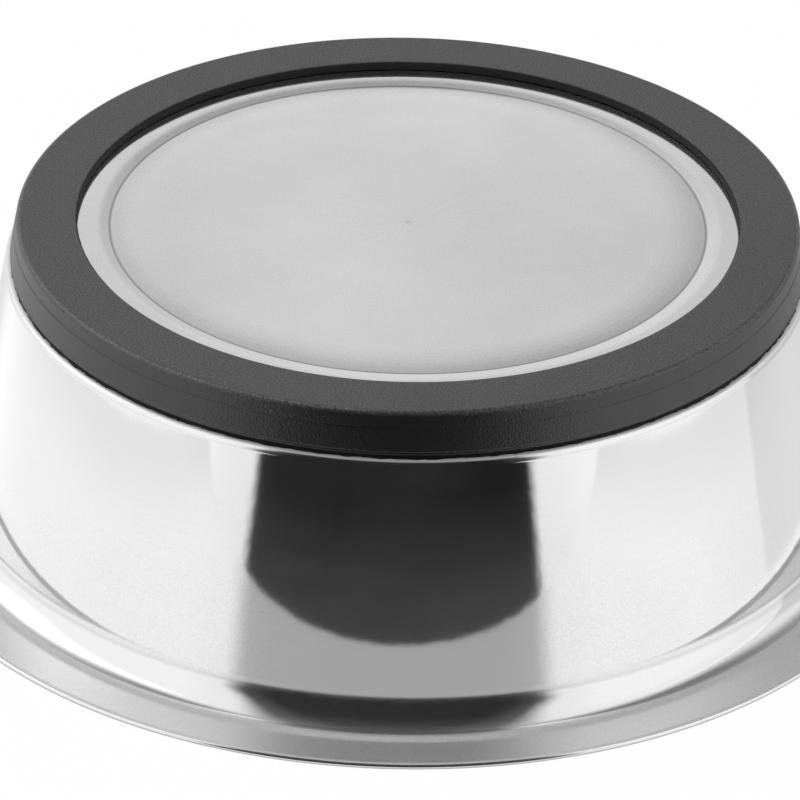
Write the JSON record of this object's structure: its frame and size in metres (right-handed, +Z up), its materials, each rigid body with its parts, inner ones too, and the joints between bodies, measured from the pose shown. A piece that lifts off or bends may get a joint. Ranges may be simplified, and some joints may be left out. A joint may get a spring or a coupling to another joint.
{
  "type": "dog bowl",
  "caption": "Shallow flared stainless steel pet bowl with a flat rolled rim, a creased base panel and a bonded anti-slip rubber foot ring with a short skirt.",
  "frame": {"origin": "centre of the foot face of the rubber ring, on the surface that the bowl stands on", "axes": "+Z up along the bowl's axis of revolution, out of its mouth; +X and +Y lie in the foot face in any two square directions"},
  "size_m": [0.1892, 0.1892, 0.0566],
  "materials": {
    "steel": "polished wall with faint circumferential brushing, satin base panel and margin",
    "rubber": "near-black moulded rubber with a soft sheen",
    "adhesive": "black cured adhesive with a ragged edge"
  },
  "bodies": {
    "root": {"bowl_shell": "steel", "rubber_ring": "rubber", "adhesive_bond": "adhesive"}
  },
  "joints": []
}
